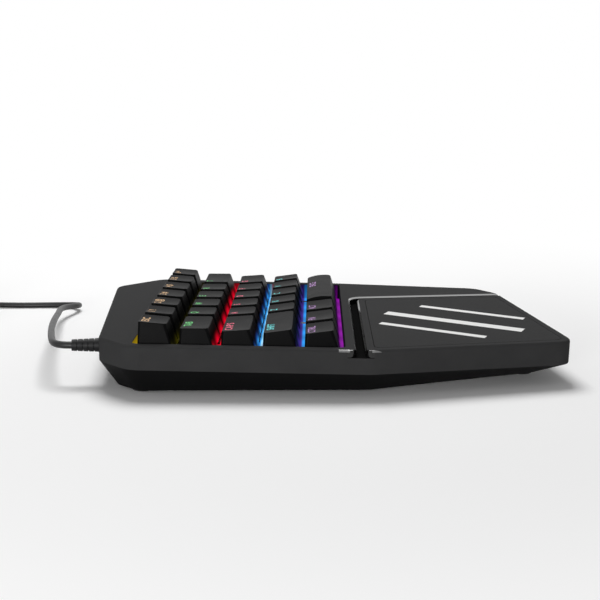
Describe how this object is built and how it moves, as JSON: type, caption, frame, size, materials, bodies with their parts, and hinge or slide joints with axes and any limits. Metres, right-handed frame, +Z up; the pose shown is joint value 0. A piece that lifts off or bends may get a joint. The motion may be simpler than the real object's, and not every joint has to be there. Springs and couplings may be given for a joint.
{
  "type": "gaming keypad",
  "caption": "One-handed mechanical gaming keypad with staggered keys, a wide palm rest with an inlaid pad, lit key gaps and a cable that ends in a coil and a flat plug.",
  "frame": {"origin": "on the table under the middle of the case, cable left out", "axes": "+X to the user's right, +Y from the palm rest towards the cable end, +Z up from the table"},
  "size_m": [0.1811, 0.3938, 0.0336],
  "materials": {
    "case_shell": "fine matte texture",
    "base_shell": "fine matte texture",
    "key_caps": "smooth matte",
    "palm_pad": "smooth matte printed sheet",
    "plate_paint": "semi-gloss",
    "board": "lacquered",
    "switch_black": "moulded",
    "switch_clear": "translucent",
    "light_lens": "clear lens",
    "steel": "drawn wire",
    "contact_metal": "plated",
    "screw_steel": "blackened",
    "chip_body": "moulded",
    "connector_body": "moulded",
    "foot_rubber": "soft",
    "relief_rubber": "soft",
    "cable_jacket": "smooth jacket",
    "tie_plastic": "smooth",
    "plug_metal": "plated",
    "tongue_plastic": "moulded"
  },
  "bodies": {
    "base": {"top_case": "case_shell", "bottom_case": "base_shell", "palm_rest_pad": "palm_pad", "switch_plate": "plate_paint", "circuit_board": "board", "switch_lower_housings": "switch_black", "switch_upper_housings": "switch_clear", "switch_springs": "steel", "switch_contacts": "contact_metal", "switch_lights": "light_lens", "controller_chip": "chip_body", "cable_connector": "connector_body", "stabilizer_housings": "switch_black", "case_screws": "screw_steel", "plate_screws": "screw_steel", "foot_rear_left": "foot_rubber", "foot_rear_right": "foot_rubber", "foot_front_left": "foot_rubber", "foot_front_right": "foot_rubber", "strain_relief": "relief_rubber", "inner_lead": "cable_jacket", "cable": "cable_jacket", "cable_coil": "cable_jacket", "cable_tail": "cable_jacket", "cable_tie": "tie_plastic", "plug_overmould": "relief_rubber", "plug_shell": "plug_metal", "plug_tongue": "tongue_plastic"},
    "key_escape": {"key_escape": "key_caps"},
    "key_one": {"key_one": "key_caps"},
    "key_two": {"key_two": "key_caps"},
    "key_three": {"key_three": "key_caps"},
    "key_four": {"key_four": "key_caps"},
    "key_five": {"key_five": "key_caps"},
    "key_six": {"key_six": "key_caps"},
    "key_tab": {"key_tab": "key_caps"},
    "key_q": {"key_q": "key_caps"},
    "key_w": {"key_w": "key_caps"},
    "key_e": {"key_e": "key_caps"},
    "key_r": {"key_r": "key_caps"},
    "key_t": {"key_t": "key_caps"},
    "key_caps": {"key_caps": "key_caps"},
    "key_a": {"key_a": "key_caps"},
    "key_s": {"key_s": "key_caps"},
    "key_d": {"key_d": "key_caps"},
    "key_f": {"key_f": "key_caps"},
    "key_g": {"key_g": "key_caps"},
    "key_shift": {"key_shift": "key_caps"},
    "key_z": {"key_z": "key_caps"},
    "key_x": {"key_x": "key_caps"},
    "key_c": {"key_c": "key_caps"},
    "key_v": {"key_v": "key_caps"},
    "key_b": {"key_b": "key_caps"},
    "key_control": {"key_control": "key_caps"},
    "key_function": {"key_function": "key_caps"},
    "key_alternate": {"key_alternate": "key_caps"},
    "key_space": {"key_space": "key_caps"},
    "stabilizer_wire_shift": {"stabilizer_wire_shift": "steel"},
    "stabilizer_wire_space": {"stabilizer_wire_space": "steel"}
  },
  "joints": [
    {"name": "escape_press", "type": "slide", "parent": "base", "child": "key_escape", "axis": [0, 0.0157, -0.9999], "range_m": [0, 0.004], "stiffness_N_per_m": 75, "springref_m": -0.005, "deforming": ["switch_springs"]},
    {"name": "one_press", "type": "slide", "parent": "base", "child": "key_one", "axis": [0, 0.0157, -0.9999], "range_m": [0, 0.004], "stiffness_N_per_m": 75, "springref_m": -0.005, "deforming": ["switch_springs"]},
    {"name": "two_press", "type": "slide", "parent": "base", "child": "key_two", "axis": [0, 0.0157, -0.9999], "range_m": [0, 0.004], "stiffness_N_per_m": 75, "springref_m": -0.005, "deforming": ["switch_springs"]},
    {"name": "three_press", "type": "slide", "parent": "base", "child": "key_three", "axis": [0, 0.0157, -0.9999], "range_m": [0, 0.004], "stiffness_N_per_m": 75, "springref_m": -0.005, "deforming": ["switch_springs"]},
    {"name": "four_press", "type": "slide", "parent": "base", "child": "key_four", "axis": [0, 0.0157, -0.9999], "range_m": [0, 0.004], "stiffness_N_per_m": 75, "springref_m": -0.005, "deforming": ["switch_springs"]},
    {"name": "five_press", "type": "slide", "parent": "base", "child": "key_five", "axis": [0, 0.0157, -0.9999], "range_m": [0, 0.004], "stiffness_N_per_m": 75, "springref_m": -0.005, "deforming": ["switch_springs"]},
    {"name": "six_press", "type": "slide", "parent": "base", "child": "key_six", "axis": [0, 0.0157, -0.9999], "range_m": [0, 0.004], "stiffness_N_per_m": 75, "springref_m": -0.005, "deforming": ["switch_springs"]},
    {"name": "tab_press", "type": "slide", "parent": "base", "child": "key_tab", "axis": [0, 0.0157, -0.9999], "range_m": [0, 0.004], "stiffness_N_per_m": 75, "springref_m": -0.005, "deforming": ["switch_springs"]},
    {"name": "q_press", "type": "slide", "parent": "base", "child": "key_q", "axis": [0, 0.0157, -0.9999], "range_m": [0, 0.004], "stiffness_N_per_m": 75, "springref_m": -0.005, "deforming": ["switch_springs"]},
    {"name": "w_press", "type": "slide", "parent": "base", "child": "key_w", "axis": [0, 0.0157, -0.9999], "range_m": [0, 0.004], "stiffness_N_per_m": 75, "springref_m": -0.005, "deforming": ["switch_springs"]},
    {"name": "e_press", "type": "slide", "parent": "base", "child": "key_e", "axis": [0, 0.0157, -0.9999], "range_m": [0, 0.004], "stiffness_N_per_m": 75, "springref_m": -0.005, "deforming": ["switch_springs"]},
    {"name": "r_press", "type": "slide", "parent": "base", "child": "key_r", "axis": [0, 0.0157, -0.9999], "range_m": [0, 0.004], "stiffness_N_per_m": 75, "springref_m": -0.005, "deforming": ["switch_springs"]},
    {"name": "t_press", "type": "slide", "parent": "base", "child": "key_t", "axis": [0, 0.0157, -0.9999], "range_m": [0, 0.004], "stiffness_N_per_m": 75, "springref_m": -0.005, "deforming": ["switch_springs"]},
    {"name": "caps_press", "type": "slide", "parent": "base", "child": "key_caps", "axis": [0, 0.0157, -0.9999], "range_m": [0, 0.004], "stiffness_N_per_m": 75, "springref_m": -0.005, "deforming": ["switch_springs"]},
    {"name": "a_press", "type": "slide", "parent": "base", "child": "key_a", "axis": [0, 0.0157, -0.9999], "range_m": [0, 0.004], "stiffness_N_per_m": 75, "springref_m": -0.005, "deforming": ["switch_springs"]},
    {"name": "s_press", "type": "slide", "parent": "base", "child": "key_s", "axis": [0, 0.0157, -0.9999], "range_m": [0, 0.004], "stiffness_N_per_m": 75, "springref_m": -0.005, "deforming": ["switch_springs"]},
    {"name": "d_press", "type": "slide", "parent": "base", "child": "key_d", "axis": [0, 0.0157, -0.9999], "range_m": [0, 0.004], "stiffness_N_per_m": 75, "springref_m": -0.005, "deforming": ["switch_springs"]},
    {"name": "f_press", "type": "slide", "parent": "base", "child": "key_f", "axis": [0, 0.0157, -0.9999], "range_m": [0, 0.004], "stiffness_N_per_m": 75, "springref_m": -0.005, "deforming": ["switch_springs"]},
    {"name": "g_press", "type": "slide", "parent": "base", "child": "key_g", "axis": [0, 0.0157, -0.9999], "range_m": [0, 0.004], "stiffness_N_per_m": 75, "springref_m": -0.005, "deforming": ["switch_springs"]},
    {"name": "shift_press", "type": "slide", "parent": "base", "child": "key_shift", "axis": [0, 0.0157, -0.9999], "range_m": [0, 0.004], "stiffness_N_per_m": 75, "springref_m": -0.005, "deforming": ["switch_springs"]},
    {"name": "z_press", "type": "slide", "parent": "base", "child": "key_z", "axis": [0, 0.0157, -0.9999], "range_m": [0, 0.004], "stiffness_N_per_m": 75, "springref_m": -0.005, "deforming": ["switch_springs"]},
    {"name": "x_press", "type": "slide", "parent": "base", "child": "key_x", "axis": [0, 0.0157, -0.9999], "range_m": [0, 0.004], "stiffness_N_per_m": 75, "springref_m": -0.005, "deforming": ["switch_springs"]},
    {"name": "c_press", "type": "slide", "parent": "base", "child": "key_c", "axis": [0, 0.0157, -0.9999], "range_m": [0, 0.004], "stiffness_N_per_m": 75, "springref_m": -0.005, "deforming": ["switch_springs"]},
    {"name": "v_press", "type": "slide", "parent": "base", "child": "key_v", "axis": [0, 0.0157, -0.9999], "range_m": [0, 0.004], "stiffness_N_per_m": 75, "springref_m": -0.005, "deforming": ["switch_springs"]},
    {"name": "b_press", "type": "slide", "parent": "base", "child": "key_b", "axis": [0, 0.0157, -0.9999], "range_m": [0, 0.004], "stiffness_N_per_m": 75, "springref_m": -0.005, "deforming": ["switch_springs"]},
    {"name": "control_press", "type": "slide", "parent": "base", "child": "key_control", "axis": [0, 0.0157, -0.9999], "range_m": [0, 0.004], "stiffness_N_per_m": 75, "springref_m": -0.005, "deforming": ["switch_springs"]},
    {"name": "function_press", "type": "slide", "parent": "base", "child": "key_function", "axis": [0, 0.0157, -0.9999], "range_m": [0, 0.004], "stiffness_N_per_m": 75, "springref_m": -0.005, "deforming": ["switch_springs"]},
    {"name": "alternate_press", "type": "slide", "parent": "base", "child": "key_alternate", "axis": [0, 0.0157, -0.9999], "range_m": [0, 0.004], "stiffness_N_per_m": 75, "springref_m": -0.005, "deforming": ["switch_springs"]},
    {"name": "space_press", "type": "slide", "parent": "base", "child": "key_space", "axis": [0, 0.0157, -0.9999], "range_m": [0, 0.004], "stiffness_N_per_m": 75, "springref_m": -0.005, "deforming": ["switch_springs"]},
    {"name": "shift_wire_swing", "type": "hinge", "parent": "base", "child": "stabilizer_wire_shift", "pos_m": [-0.04857, 0.02777, 0.01223], "axis": [1, 0, 0], "range_deg": [0, 29]},
    {"name": "space_wire_swing", "type": "hinge", "parent": "base", "child": "stabilizer_wire_space", "pos_m": [0.03239, 0.00872, 0.01194], "axis": [1, 0, 0], "range_deg": [0, 29]}
  ],
  "couplings": [
    {"joint": "shift_wire_swing", "follows": "shift_press", "rad_per_m": 126.34},
    {"joint": "space_wire_swing", "follows": "space_press", "rad_per_m": 126.34}
  ]
}
